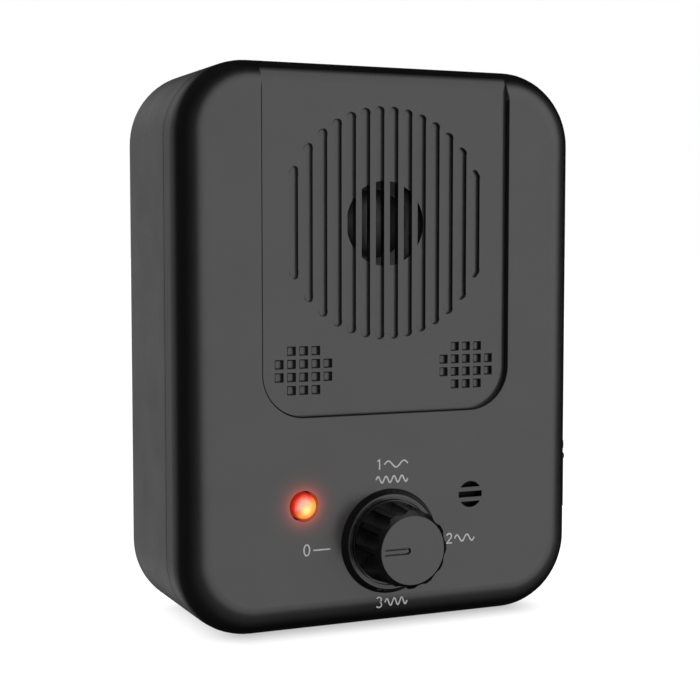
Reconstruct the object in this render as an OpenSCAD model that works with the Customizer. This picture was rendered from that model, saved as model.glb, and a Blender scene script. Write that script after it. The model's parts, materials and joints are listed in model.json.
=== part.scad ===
// Ultrasonic pest repeller: a rounded plastic case with a speaker grille, an indicator lamp,
// a microphone and a rotary mode switch.
// X runs to the right as seen from the front, Y runs to the back, Z runs up.
// The origin is the centre of the flat bottom face, halfway through the depth of the body.

/* [Body] */
// Width of the body
body_w = 80; // [78:1:88]
// Height of the body
body_h = 103.6; // [102:0.2:110]
// Depth of the body, without the knob
body_d = 33; // [32:0.5:38]
// Radius of the corners as seen from the front
corner_r = 14; // [13:0.5:15]
// Radius round the rim of the front face
front_edge_r = 5.8; // [5:0.2:6]
// Radius round the rim of the back face
back_edge_r = 2; // [1:0.25:3]
// Thickness of the side walls and the back wall
wall = 2; // [2:0.1:2.4]
// Thickness of the front wall
front_wall = 2.6; // [2.6:0.1:2.8]
// Depth of the front cover, from the front face to the parting line
seam_depth = 9.2; // [9:0.1:9.6]

/* [Speaker panel] */
// Half of the width of the recessed panel
panel_half_w = 24.85; // [24:0.05:25.5]
// Height of the panel's lower edge above the bottom of the body
panel_bottom = 39.75; // [38:0.25:41]
// Radius of the panel's lower corners
panel_corner_r = 8; // [6:0.5:10]
// Depth of the panel below the front face
panel_depth = 1.15; // [0.8:0.05:1.3]
// Width of the bevel round the panel's rim
panel_bevel = 0.3; // [0.2:0.05:0.5]
// Radius that the panel's floor rounds over with at its top
panel_top_r = 3; // [2.5:0.1:3.2]
// Height of the centre of the grille
grille_z = 74.7; // [73:0.1:76]
// Radius of the circle that the grille's slots end on
grille_r = 21.2; // [20:0.1:22]
// Number of slots in the grille
slot_count = 14; // [10:2:14]
// Distance from slot to slot
slot_pitch = 2.836; // [2.7:0.004:2.9]
// Width of one slot
slot_w = 1.7; // [1.4:0.05:1.8]
// Depth of a slot below the panel
slot_depth = 0.8; // [0.5:0.05:0.9]
// Radius of the corners at a slot's ends
slot_end_r = 0.65; // [0.4:0.05:0.8]
// Radius of the round area where the slots go right through
open_r = 7.8; // [6:0.1:9]
// Sideways distance from the middle to each group of square pockets
pocket_x = 16.55; // [16:0.05:17]
// Height of the middle of the groups of square pockets
pocket_z = 48.14; // [47.5:0.02:48.5]
// Distance from pocket to pocket
pocket_pitch = 2.37; // [2.3:0.01:2.4]
// Side of one square pocket
pocket_size = 1.35; // [1.2:0.05:1.5]
// Width of the bevel round the pockets
small_bevel = 0.18; // [0.1:0.02:0.2]

/* [Controls] */
// Height of the knob's axis
dial_z = 16; // [15.5:0.1:16.5]
// Radius of the collar round the knob, at its foot
collar_r = 9.6; // [9.5:0.05:9.8]
// Radius of the outer edge of the collar's flat top
collar_top_r = 8.85; // [8.6:0.05:9]
// Height of the collar above the front face
collar_h = 1.3; // [1.2:0.1:1.6]
// Radius of the knob's skirt, inside the collar
skirt_r = 7.85; // [7.8:0.05:7.9]
// Radius of the knob's grip at its front end
grip_r = 7.05; // [6.9:0.05:7.2]
// Radius of the flat cap on the front of the knob
cap_r = 6.22; // [6:0.02:6.5]
// How far the knob's cap stands in front of the front face
knob_h = 10; // [9.6:0.1:10.6]
// Number of flutes round the grip
flute_count = 12; // [10:1:14]
// Sideways distance of the lamp and the microphone from the middle
side_x = 17; // [16.5:0.1:17.5]
// Height of the lamp and the microphone
side_z = 23.6; // [23.2:0.1:24]
// Radius of the indicator lamp
led_r = 2.5; // [2.4:0.1:2.5]
// Gap round the lamp in the front wall
led_gap = 0.35; // [0.1:0.05:0.4]
// Radius of the round microphone opening
mic_hole_r = 2.49; // [2.3:0.01:2.6]

/* [Port] */
// Height of the middle of the charging port
port_z = 23.8; // [23:0.1:24]
// Depth of the middle of the charging port behind the front face
port_depth = 6.9; // [6.9:0.1:7]
// How far the port cover stands out of the side
port_proud = 0.9; // [0.5:0.1:1]

/* [Hidden] */
$fn = 64;

eps = 0.01;
front_y = -body_d / 2;
back_y = body_d / 2;
inner_front_y = front_y + front_wall;
inner_back_y = back_y - wall;
seam_y = front_y + seam_depth;
panel_y = front_y + panel_depth;

// Top of the panel's floor: where it starts to round over, and where it has left the body. It
// crosses the body's rounded rim at a shallow angle
panel_top_lap = 0.05;
panel_turn_z = body_h - front_edge_r
    + sqrt(pow(front_edge_r - panel_top_r + panel_top_lap, 2)
        - pow(front_edge_r - panel_top_r - panel_depth, 2));
panel_stop_z = body_h - 1.1;

// Joint between the two covers: a tongue on the front one, a rebate in the rear one, a seal between
seam_gap = 0.15;
tongue_offset = 1.1;
tongue_len = 1.6;
rebate_offset = 1;
seal_t = 1;
seal_clear = 0.06;

// Cover screws and the bosses that they join
boss_x = 31.5;
boss_inset = 10;
boss_meet_y = -3;
front_boss_r = 3;
rear_boss_r = 4;
screw_r = 1.2;
screw_clear = 0.05;
screw_head_r = 2.4;
screw_head_h = 1.7;
screw_seat_y = 4.5;
screw_len = 13.5;
screw_recess_r = 2.9;

// Keyholes in the back for hanging the body on two screws
key_x = 20;
key_z = 77.5;
key_r = 4;
key_slot_r = 2.1;
key_rise = 7;
key_box_w = 12;
key_box_low = 5.6;
key_box_high = 11.4;
key_box_depth = 7;
key_box_wall = 1.2;

// Blank panel sunk in the back
label_w = 44;
label_h = 22;
label_z = 36;
label_depth = 0.4;

// Main board: a wide upper part and a narrow tongue below it
board_y = front_y + 8.35;
board_t = 1.6;
board_back_y = board_y + board_t;
board_left = 35;
board_right = 36.8;
board_low = 17;
board_high = 47;
tongue_w = 54;
tongue_low = 5;
board_post_r = 2.5;
board_posts = [[-23, 8], [23, 8], [-31, 43], [31, 43]];
board_screw_r = 0.85;
board_screw_head_r = 1.9;
board_screw_head_h = 1.2;
board_screw_len = 6;
pin_r = 0.35;
pin_clear = 0.1;
pin_tail = 1.2;

// Speaker
housing_r = 18;
flange_r = 20.5;
flange_t = 1.5;
gasket_t = 1;
housing_depth = 10;
housing_wall = 1.2;
speaker_y = inner_front_y + gasket_t;
speaker_back_y = speaker_y + housing_depth;
post_circle_r = 22.9;
post_r = 2;
post_angles = [30, 150, 270];
speaker_screw_head_r = 3.2;
speaker_screw_len = 2.2;
terminal_x = 5;
terminal_w = 2.4;
terminal_t = 0.5;
terminal_z = 60.5;
speaker_lead_r = 0.55;
speaker_lead_end_z = 44.6;

// Switch
shaft_r = 2.9;
shaft_clear = 0.05;
shaft_flat = 1.9;
shaft_tip_y = front_y - 8.4;
flat_end_y = front_y - 1.2;
shaft_tail_y = board_y - 2;
bushing_r = 3.4;
switch_w = 13;
switch_front_y = inner_front_y + 0.1;
switch_base_t = 1.05;

// Battery pack behind the board
pack_w = 50;
pack_h = 34;
pack_t = 10;
pack_end_h = 3;
pad_t = 1;
pack_z = 28.5;
pack_y = inner_back_y - pad_t - pack_t;
battery_lead_r = 0.6;
battery_lead_gap = 2.5;

// Port opening and its cover
pocket_floor_x = body_w / 2 - 1;
port_y = front_y + port_depth;
flap_w = 4;
flap_low = port_z - 4.8;
flap_axis_z = port_z + 5.2;
flap_axis_x = body_w / 2 - 0.1;
anchor_low = flap_axis_z + 1.5;
anchor_high = flap_axis_z + 3;
flap_gap = 0.3;
flap_side_gap = 0.4;

// ---------- shared shapes ----------

// One quarter of a disc, in the quadrant given by the signs sx and sy
module quarter_disc(r, sx, sy) {
    intersection() {
        circle(r);
        translate([sx < 0 ? -r : 0, sy < 0 ? -r : 0])
            square(r);
    }
}

// Section from the corner axis outwards: flat ends with a rounded front and back rim
module rim_profile(r, y0, y1, front_r, back_r) {
    translate([0, y0 + front_r])
        square([r, y1 - back_r - y0 - front_r]);
    if (front_r > 0) {
        translate([0, y0])
            square([r - front_r, front_r]);
        translate([r - front_r, y0 + front_r])
            quarter_disc(front_r, 1, -1);
    }
    if (back_r > 0) {
        translate([0, y1 - back_r])
            square([r - back_r, back_r]);
        translate([r - back_r, y1 - back_r])
            quarter_disc(back_r, 1, 1);
    }
}

// Block with rounded upright corners. The child is its section from the corner axis outwards,
// with X the distance from that axis and Y the depth; y0 and y1 are the section's ends
module rounded_block(w, h, r, y0, y1, z_mid) {
    run_x = w - 2 * r;
    run_z = h - 2 * r;
    translate([0, 0, z_mid]) {
        translate([-run_x / 2, y0, -run_z / 2])
            cube([run_x, y1 - y0, run_z]);
        for (sx = [0, 1]) {
            mirror([sx, 0, 0])
                translate([run_x / 2, 0, -run_z / 2])
                    linear_extrude(run_z)
                        children();
            for (sz = [0, 1])
                mirror([sx, 0, 0])
                    mirror([0, 0, sz])
                        translate([run_x / 2, 0, -run_z / 2])
                            rotate([-90, 0, 0])
                                rotate_extrude(angle = 90)
                                    children();
        }
        for (sz = [0, 1])
            mirror([0, 0, sz])
                translate([run_x / 2, 0, run_z / 2])
                    rotate([0, -90, 0])
                        linear_extrude(run_x)
                            children();
    }
}

// Rounded block of the body's outline, set in by inset, with plain or rounded rims
module body_block(inset, y0, y1, front_r, back_r) {
    r = corner_r - inset;
    rounded_block(body_w - 2 * inset, body_h - 2 * inset, r, y0, y1, body_h / 2)
        rim_profile(r, y0, y1, front_r, back_r);
}

// Cylinder along Y from y0 to y1, centred on x and z
module rod_y(r, y0, y1, x, z) {
    translate([x, y0, z])
        rotate([-90, 0, 0])
            cylinder(r = r, h = y1 - y0);
}

// Cone along Y from radius r0 at y0 to radius r1 at y1
module cone_y(r0, r1, y0, y1, x, z) {
    translate([x, y0, z])
        rotate([-90, 0, 0])
            cylinder(r1 = r0, r2 = r1, h = y1 - y0);
}

// Box from its middle in X and Z and its two ends in Y
module slab(w, h, y0, y1, x, z) {
    translate([x - w / 2, y0, z - h / 2])
        cube([w, y1 - y0, h]);
}

// Solid of revolution about a Y axis. The child's X is the radius and its Y is the depth
module turned(x, z) {
    translate([x, 0, z])
        rotate([-90, 0, 0])
            rotate_extrude()
                children();
}

// The four places of the cover screws
module at_bosses() {
    for (x = [-boss_x, boss_x], z = [boss_inset, body_h - boss_inset])
        translate([x, 0, z])
            children();
}

// ---------- wires ----------

function unit(v) = v / norm(v);
function blend(a, b, c, d, t) =
    0.5 * ((2 * b) + (c - a) * t + (2 * a - 5 * b + 4 * c - d) * t * t
        + (3 * b - a - 3 * c + d) * t * t * t);
// Smooth curve through the points, which leaves and arrives along its first and last steps
function smooth(p, steps) = concat(
    [p[0]],
    [for (i = [1 : len(p) - 3], s = [0 : steps - 1])
        blend(p[i - 1], p[i], p[i + 1], p[i + 2], s / steps)],
    [p[len(p) - 2], p[len(p) - 1]]
);
function heading(q, i) =
    i == 0 ? unit(q[1] - q[0])
    : i == len(q) - 1 ? unit(q[i] - q[i - 1])
    : unit(unit(q[i + 1] - q[i]) + unit(q[i] - q[i - 1]));

// Round wire swept along a smooth curve through the points
module wire(points, r) {
    sides = 8;
    q = smooth(points, 5);
    n = len(q);
    rings = [
        for (i = [0 : n - 1])
            let (t = heading(q, i), side = unit(cross(t, [1, 0.02, 0.01])), up = cross(side, t))
                for (k = [0 : sides - 1])
                    q[i] + r * (cos(360 * k / sides) * side + sin(360 * k / sides) * up)
    ];
    faces = concat(
        [[for (k = [0 : sides - 1]) k]],
        [for (i = [0 : n - 2], k = [0 : sides - 1])
            let (a = i * sides, m = (k + 1) % sides)
                [a + m, a + k, a + sides + k, a + sides + m]],
        [[for (k = [sides - 1 : -1 : 0]) (n - 1) * sides + k]]
    );
    polyhedron(points = rings, faces = faces, convexity = 6);
}

// ---------- case ----------

// Recess with bevelled sides and round lower corners. At its top the floor rounds over and runs
// out into the body's rim
module panel_recess() {
    top_extra = 30;
    reach_y = panel_y + panel_top_r;
    h = body_h + top_extra - panel_bottom;
    rim_r = panel_corner_r + panel_bevel / 2;
    wall_r = rim_r - panel_bevel;
    difference() {
        rounded_block(2 * panel_half_w, h, panel_corner_r, front_y - 1, reach_y,
            panel_bottom + h / 2)
            polygon([
                [0, front_y - 1],
                [rim_r, front_y - 1],
                [rim_r, front_y],
                [wall_r, front_y + panel_bevel],
                [wall_r, reach_y],
                [0, reach_y]
            ]);
        slab(2 * body_w, 2 * panel_turn_z, panel_y, reach_y + 1, 0, 0);
        translate([-body_w, reach_y, panel_turn_z])
            rotate([0, 90, 0])
                cylinder(r = panel_top_r, h = 2 * body_w);
        slab(2 * body_w, 2 * top_extra, front_y - 2, reach_y + 1, 0, panel_stop_z + top_extra);
    }
}

// Half of a slot's outline, above its middle: its end follows the circle and has round corners
module slot_half(distance) {
    r = slot_end_r;
    inner = distance - slot_w / 2 + r;
    outer = distance + slot_w / 2 - r;
    inner_z = sqrt(pow(grille_r - r, 2) - pow(inner, 2));
    outer_z = sqrt(pow(grille_r - r, 2) - pow(outer, 2));
    out = unit([inner_z - outer_z, outer - inner]);
    translate([inner, inner_z])
        circle(r);
    translate([outer, outer_z])
        circle(r);
    polygon([
        [inner - r, 0], [inner - r, inner_z],
        [inner, inner_z] + r * out, [outer, outer_z] + r * out,
        [outer + r, outer_z], [outer + r, 0]
    ]);
}

module grille_slots(y1) {
    translate([0, y1, grille_z])
        rotate([90, 0, 0])
            linear_extrude(y1 - panel_y + 1)
                for (sx = [0, 1], sz = [0, 1], i = [0 : slot_count / 2 - 1])
                    mirror([sx, 0])
                        mirror([0, sz])
                            slot_half((i + 0.5) * slot_pitch);
}

// Cones that bevel both round ends of every slot
module slot_end_bevels() {
    end_bevel = 0.08;
    wide_r = slot_w / 2 + end_bevel + small_bevel;
    narrow_r = slot_w / 2 + end_bevel - 2 * small_bevel;
    reach = grille_r - slot_w / 2 + 0.05;
    for (sx = [-1, 1], sz = [-1, 1], i = [0 : slot_count / 2 - 1]) {
        x = (i + 0.5) * slot_pitch;
        cone_y(wide_r, narrow_r, panel_y - small_bevel, panel_y + 2 * small_bevel, sx * x,
            grille_z + sz * sqrt(reach * reach - x * x));
    }
}

// Section of a pocket: straight sides with a bevel at the panel. Y is the depth
module pocket_profile() {
    half = pocket_size / 2;
    polygon([
        [-half - small_bevel, panel_y], [-half, panel_y + small_bevel],
        [-half, panel_y + slot_depth], [half, panel_y + slot_depth],
        [half, panel_y + small_bevel], [half + small_bevel, panel_y],
        [half + small_bevel, panel_y - 1], [-half - small_bevel, panel_y - 1]
    ]);
}

module pocket(x, z) {
    span = pocket_size + 4 * small_bevel;
    translate([x, 0, z])
        intersection() {
            translate([0, 0, -span / 2])
                linear_extrude(span)
                    pocket_profile();
            translate([-span / 2, 0, 0])
                rotate([0, 90, 0])
                    linear_extrude(span)
                        pocket_profile();
        }
}

module square_pockets() {
    for (side = [-1, 1], row = [0 : 3]) {
        in_row = (row == 1 || row == 2) ? 5 : 3;
        for (i = [0 : in_row - 1])
            pocket(side * pocket_x + (i - (in_row - 1) / 2) * pocket_pitch,
                pocket_z + (1.5 - row) * pocket_pitch);
    }
}

module mic_openings() {
    bar_h = 1.13;
    bar_pitch = 1.93;
    intersection() {
        rod_y(mic_hole_r, front_y - 1, inner_front_y + 1, side_x, side_z);
        for (i = [-1 : 1])
            slab(2 * mic_hole_r + 1, bar_h, front_y - 1, inner_front_y + 1, side_x,
                side_z + i * bar_pitch);
    }
}

// Low ring round the knob, with sloping sides and a flat top
module dial_collar() {
    bore_r = skirt_r + 0.2;
    foot = 0.2;
    bevel_r = 0.1;
    bevel_h = 0.15;
    top_y = front_y - collar_h;
    turned(0, dial_z)
        polygon([
            [bore_r, front_y + eps],
            [collar_r + foot, front_y + eps],
            [collar_r, front_y - foot],
            [collar_top_r + bevel_r, top_y + bevel_h],
            [collar_top_r - bevel_r, top_y],
            [bore_r, top_y]
        ]);
}

module port_opening() {
    pocket_h = anchor_high + flap_gap - (flap_low - flap_gap);
    pocket_w = seam_depth - port_depth + flap_w / 2 + flap_side_gap + 1;
    opening_w = 3;
    opening_h = 8.4;
    stem_hole_r = 0.75;
    translate([pocket_floor_x, port_y - flap_w / 2 - flap_side_gap, flap_low - flap_gap])
        cube([3, pocket_w, pocket_h]);
    translate([body_w / 2 - wall - 1, port_y - opening_w / 2, port_z - opening_h / 2])
        cube([wall + 2, opening_w, opening_h]);
    translate([body_w / 2 - wall - 1, port_y, (anchor_low + anchor_high) / 2])
        rotate([0, 90, 0])
            cylinder(r = stem_hole_r, h = wall + 2);
}

module front_cover() {
    color([0.09, 0.09, 0.095])
    difference() {
        union() {
            difference() {
                union() {
                    body_block(0, front_y, seam_y, front_edge_r, 0);
                    body_block(tongue_offset, seam_y - 1, seam_y + tongue_len, 0, 0);
                }
                body_block(wall, inner_front_y, seam_y + tongue_len + 1, front_edge_r - wall, 0);
            }
            dial_collar();
            at_bosses()
                rod_y(front_boss_r, inner_front_y - eps, boss_meet_y, 0, 0);
            for (p = board_posts)
                rod_y(board_post_r, inner_front_y - eps, board_y, p[0], p[1]);
            for (a = post_angles)
                rod_y(post_r, inner_front_y - eps, speaker_y + flange_t,
                    post_circle_r * cos(a), grille_z + post_circle_r * sin(a));
        }
        panel_recess();
        grille_slots(panel_y + slot_depth);
        intersection() {
            grille_slots(inner_front_y + 1);
            rod_y(open_r, panel_y - 1, inner_front_y + 1, 0, grille_z);
        }
        slot_end_bevels();
        square_pockets();
        mic_openings();
        rod_y(led_r + led_gap, front_y - 1, inner_front_y + 1, -side_x, side_z);
        rod_y(bushing_r + 0.2, front_y - 1, inner_front_y + 1, 0, dial_z);
        at_bosses()
            rod_y(screw_r + screw_clear, inner_front_y + 1, boss_meet_y + 1, 0, 0);
        for (p = board_posts)
            rod_y(board_screw_r + screw_clear, inner_front_y + 0.5, board_y + 1, p[0], p[1]);
        for (a = post_angles)
            rod_y(board_screw_r + screw_clear, inner_front_y + 0.2, speaker_y + flange_t + 1,
                post_circle_r * cos(a), grille_z + post_circle_r * sin(a));
        port_opening();
    }
}

// Round entry with a narrower slot above it
module keyhole(x) {
    rod_y(key_r, inner_back_y - eps, back_y + 1, x, key_z);
    rod_y(key_slot_r, inner_back_y - eps, back_y + 1, x, key_z + key_rise);
    slab(2 * key_slot_r, key_rise, inner_back_y - eps, back_y + 1, x, key_z + key_rise / 2);
}

module keyhole_box(x, inset) {
    h = key_box_low + key_box_high - 2 * inset;
    slab(key_box_w - 2 * inset, h, inner_back_y - key_box_depth + inset, inner_back_y + eps, x,
        key_z + (key_box_high - key_box_low) / 2);
}

// Low walls that hold the battery pack by its corners
module pack_cradle() {
    gap = 0.3;
    t = 1.2;
    reach = 6;
    arm = 9;
    for (sx = [0, 1], sz = [-1, 1])
        mirror([sx, 0, 0]) {
            edge_x = pack_w / 2 + gap;
            edge_z = pack_h / 2 + gap;
            slab(t, arm, inner_back_y - reach, inner_back_y + eps, edge_x + t / 2,
                pack_z + sz * (edge_z + t - arm / 2));
            slab(arm, t, inner_back_y - reach, inner_back_y + eps, edge_x + t - arm / 2,
                pack_z + sz * (edge_z + t / 2));
        }
}

module rear_cover() {
    color([0.085, 0.085, 0.09])
    difference() {
        union() {
            difference() {
                body_block(0, seam_y + seam_gap, back_y, 0, back_edge_r);
                body_block(rebate_offset, seam_y, seam_y + tongue_len + seal_t, 0, 0);
                body_block(wall, seam_y, inner_back_y, 0, 0);
            }
            at_bosses()
                rod_y(rear_boss_r, boss_meet_y, inner_back_y + eps, 0, 0);
            for (x = [-key_x, key_x])
                keyhole_box(x, 0);
            pack_cradle();
        }
        for (x = [-key_x, key_x]) {
            keyhole(x);
            keyhole_box(x, key_box_wall);
        }
        at_bosses() {
            rod_y(screw_r + 0.3, boss_meet_y - 1, back_y, 0, 0);
            rod_y(screw_recess_r, screw_seat_y, back_y + 1, 0, 0);
        }
        slab(label_w, label_h, back_y - label_depth, back_y + 1, 0, label_z);
    }
}

module cover_seal() {
    outer = rebate_offset + seal_clear;
    inner = wall - seal_clear;
    color([0.05, 0.05, 0.05])
    difference() {
        body_block(outer, seam_y + tongue_len, seam_y + tongue_len + seal_t, 0, 0);
        body_block(inner, seam_y + tongue_len - 1, seam_y + tongue_len + seal_t + 1, 0, 0);
    }
}

// Pan-head screw along Y: the head's flat side rests on seat_y and the shank runs to the front
module screw(r, head_r, head_h, len, seat_y) {
    cross_w = head_r * 0.32;
    cross_l = head_r * 1.25;
    cross_y = seat_y + head_h * 0.35;
    crown_r = head_r * 0.72;
    crown_y = seat_y + head_h * 0.55;
    top_y = seat_y + head_h;
    difference() {
        union() {
            rod_y(r, seat_y - len, seat_y + eps, 0, 0);
            rod_y(head_r, seat_y, crown_y, 0, 0);
            cone_y(head_r, crown_r, crown_y, top_y, 0, 0);
        }
        slab(cross_w, cross_l, cross_y, top_y + 1, 0, 0);
        slab(cross_l, cross_w, cross_y, top_y + 1, 0, 0);
    }
}

module cover_screws() {
    color([0.62, 0.62, 0.64])
    at_bosses()
        screw(screw_r, screw_head_r, screw_head_h, screw_len, screw_seat_y);
}

// ---------- knob and switch ----------

// Scallops that are cut into the grip, leaning inwards by the given angle towards its front
module flutes(y0, y1, lean) {
    flute_r = 1.9;
    flute_cut = 0.42;
    for (i = [0 : flute_count - 1])
        translate([0, y1, dial_z])
            rotate([0, 360 * (i + 0.5) / flute_count, 0])
                translate([grip_r + flute_r - flute_cut, 0, 0])
                    rotate([0, 0, -lean])
                        rotate([90, 0, 0])
                            cylinder(r = flute_r, h = y1 - y0);
}

// Narrow groove in the shape of a U lying on its side, open towards the knob's left edge
module pointer_groove(y0, y1) {
    outer_h = 1.3;
    bar_h = 0.5;
    left_x = -5.5;
    end_x = -1.05;
    difference() {
        union() {
            slab(end_x - left_x, outer_h, y0, y1, (left_x + end_x) / 2, dial_z);
            rod_y(outer_h / 2, y0, y1, end_x, dial_z);
        }
        slab(end_x - left_x + 2, bar_h, y0 - 1, y1 + 1, (left_x + end_x) / 2 - 1, dial_z);
        rod_y(bar_h / 2, y0 - 1, y1 + 1, end_x, dial_z);
    }
}

module knob() {
    foot_y = front_y - 0.5;
    skirt_y = front_y - 1.35;
    shoulder_y = front_y - knob_h + 0.75;
    cap_y = front_y - knob_h;
    cap_t = 2.4;
    hub_r = 4.4;
    inner_r = 5.9;
    rib_t = 1;
    flat_short = 0.3;
    groove_deep = 0.55;
    grip_flare = 0.6;
    grip_lean = 4;
    color([0.06, 0.06, 0.065])
    difference() {
        union() {
            rod_y(skirt_r, skirt_y, foot_y, 0, dial_z);
            difference() {
                cone_y(grip_r, grip_r + grip_flare, shoulder_y, skirt_y, 0, dial_z);
                flutes(cap_y - 2, skirt_y - 0.5, grip_lean);
            }
            difference() {
                cone_y(cap_r, grip_r + 0.06, cap_y, shoulder_y, 0, dial_z);
                flutes(cap_y - 1, shoulder_y + 1, 0);
            }
        }
        // hollow round the hub
        difference() {
            rod_y(inner_r, cap_y + cap_t, foot_y + 1, 0, dial_z);
            rod_y(hub_r, cap_y, foot_y - 0.5, 0, dial_z);
            for (a = [45, 135])
                translate([0, 0, dial_z])
                    rotate([0, a, 0])
                        slab(2 * inner_r + 1, rib_t, cap_y, foot_y - 1, 0, 0);
        }
        // bore for the shaft, with its flat
        difference() {
            rod_y(shaft_r + shaft_clear, shaft_tip_y, foot_y + 1, 0, dial_z);
            translate([shaft_flat + shaft_clear, shaft_tip_y - 1, dial_z - shaft_r])
                cube([shaft_r, flat_end_y - shaft_tip_y + 1 - flat_short, 2 * shaft_r]);
        }
        pointer_groove(cap_y - 1, cap_y + groove_deep);
    }
}

module switch_shaft() {
    color([0.75, 0.75, 0.77])
    difference() {
        rod_y(shaft_r, shaft_tip_y, shaft_tail_y, 0, dial_z);
        translate([shaft_flat, shaft_tip_y - 1, dial_z - shaft_r])
            cube([shaft_r, flat_end_y - shaft_tip_y + 1, 2 * shaft_r]);
    }
}

module switch_rotor() {
    rotor_r = 4.8;
    rotor_y0 = shaft_tail_y - 1.8;
    wiper_x = 4;
    wiper_r = 0.6;
    wiper_h = 0.35;
    color([0.9, 0.88, 0.8])
    difference() {
        union() {
            rod_y(rotor_r, rotor_y0, shaft_tail_y, 0, dial_z);
            rod_y(wiper_r, shaft_tail_y - eps, shaft_tail_y + wiper_h, wiper_x, dial_z);
        }
        rod_y(shaft_r + eps, rotor_y0 - 1, shaft_tail_y + 1, 0, dial_z);
    }
}

module switch_bushing() {
    color([0.72, 0.7, 0.66])
    difference() {
        rod_y(bushing_r, front_y - 0.4, switch_front_y, 0, dial_z);
        rod_y(shaft_r + shaft_clear, front_y - 1, switch_front_y + 1, 0, dial_z);
    }
}

module switch_body() {
    cavity_r = 5.3;
    front_t = 1.1;
    back = board_y - switch_base_t;
    color([0.15, 0.15, 0.16])
    difference() {
        slab(switch_w, switch_w, switch_front_y, back, 0, dial_z);
        rod_y(shaft_r + shaft_clear, switch_front_y - 1, back + 1, 0, dial_z);
        rod_y(cavity_r, switch_front_y + front_t, back + 1, 0, dial_z);
    }
}

module switch_base() {
    color([0.45, 0.28, 0.12])
    difference() {
        slab(switch_w, switch_w, board_y - switch_base_t, board_y, 0, dial_z);
        for (p = switch_pin_places)
            rod_y(pin_r + pin_clear, board_y - 2, board_y + 1, p[0], p[1]);
    }
}

// Places of the pins, as X and Z
small_pin_pitch = 2.54;
switch_pin_pitch = 2.6;
switch_pin_z = dial_z - 5.6;
switch_pin_places = [for (i = [-2 : 2]) [i * switch_pin_pitch, switch_pin_z]];
led_pin_places = [for (i = [-0.5, 0.5]) [i * small_pin_pitch - side_x, side_z]];
mic_pin_places = [for (i = [-0.5, 0.5]) [i * small_pin_pitch + side_x, side_z]];

// Transformer
core_x = -20;
core_z = 34;
core_leg = 2.2;
core_low_y = board_back_y + 1;
core_high_y = core_low_y + 7.6;
core_gap = 0.1;
coil_low_y = core_low_y + core_leg + core_gap;
coil_high_y = core_high_y - core_leg - core_gap;
core_pin_places = [for (x = [-3, 3], z = [-4, 4]) [core_x + x, core_z + z]];

// Straight pins from y0 through the board
module pins(places, y0) {
    for (p = places)
        rod_y(pin_r, y0, board_back_y + pin_tail, p[0], p[1]);
}

module switch_pins() {
    color([0.8, 0.78, 0.7])
    pins(switch_pin_places, board_y - switch_base_t + 0.2);
}

// ---------- board and what is on it ----------

module main_board() {
    color([0.05, 0.28, 0.12])
    difference() {
        union() {
            translate([-board_left, board_y, board_low])
                cube([board_left + board_right, board_t, board_high - board_low]);
            translate([-tongue_w / 2, board_y, tongue_low])
                cube([tongue_w, board_t, board_low - tongue_low + eps]);
        }
        for (p = concat(switch_pin_places, led_pin_places, mic_pin_places, core_pin_places))
            rod_y(pin_r + pin_clear, board_y - 1, board_back_y + 1, p[0], p[1]);
        for (p = board_posts)
            rod_y(board_screw_r + 0.25, board_y - 1, board_back_y + 1, p[0], p[1]);
    }
}

module board_screws() {
    color([0.7, 0.7, 0.72])
    for (p = board_posts)
        translate([p[0], 0, p[1]])
            screw(board_screw_r, board_screw_head_r, board_screw_head_h, board_screw_len,
                board_back_y);
}

// Flat chip with a row of short legs on its upper and lower sides
module chip(w, h, t, legs, x, z) {
    stand_off = 0.15;
    leg_w = 0.4;
    leg_h = 1.1;
    leg_t = 0.5;
    leg_out = 0.35;
    leg_pitch = w / legs;
    slab(w, h, board_y - t, board_y - stand_off, x, z);
    for (i = [0 : legs - 1], side = [-1, 1])
        slab(leg_w, leg_h, board_y - leg_t, board_y, x + (i - (legs - 1) / 2) * leg_pitch,
            z + side * (h / 2 + leg_out));
}

module control_chip() {
    color([0.08, 0.08, 0.08])
    chip(10, 4, 1.7, 8, -4, 35);
}

module amplifier_chip() {
    color([0.08, 0.08, 0.08])
    chip(5, 4, 1.6, 4, 14, 35);
}

// Resistors and small capacitors
module small_parts() {
    part_w = 2;
    part_h = 1.25;
    part_t = 0.6;
    places = [[-26, 28], [-22, 41], [-8, 42], [-6, 30], [4, 30], [6, 41], [10, 29], [20, 41],
        [22, 29], [27, 36], [-30, 36], [-27, 18]];
    color([0.35, 0.3, 0.25])
    for (p = places)
        slab(part_w, part_h, board_y - part_t, board_y, p[0], p[1]);
}

module capacitors() {
    // X, Z, radius and height of each can
    cans = [[10, 37, 3.15, 7.5], [18, 37, 2.5, 6], [25, 35, 2.5, 6], [-30, 26, 2.5, 6]];
    bevel = 0.4;
    color([0.1, 0.12, 0.3])
    for (c = cans) {
        rod_y(c[2], board_back_y, board_back_y + c[3] - bevel, c[0], c[1]);
        cone_y(c[2], c[2] - bevel, board_back_y + c[3] - bevel, board_back_y + c[3], c[0], c[1]);
    }
}

module transistors() {
    places_x = [-6, -1];
    z = 30;
    can_r = 2.3;
    can_low = 1.5;
    can_high = 6;
    flat_z = z - 1.4;
    leg_r = 0.2;
    leg_pitch = 1.1;
    color([0.1, 0.1, 0.1])
    for (x = places_x)
        difference() {
            rod_y(can_r, board_back_y + can_low, board_back_y + can_high, x, z);
            slab(2 * can_r + 1, can_r, board_back_y, board_back_y + can_high + 1, x,
                flat_z - can_r / 2);
        }
    color([0.8, 0.8, 0.8])
    for (x = places_x, i = [-1 : 1])
        rod_y(leg_r, board_back_y, board_back_y + can_low + eps, x + i * leg_pitch, z);
}

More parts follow.
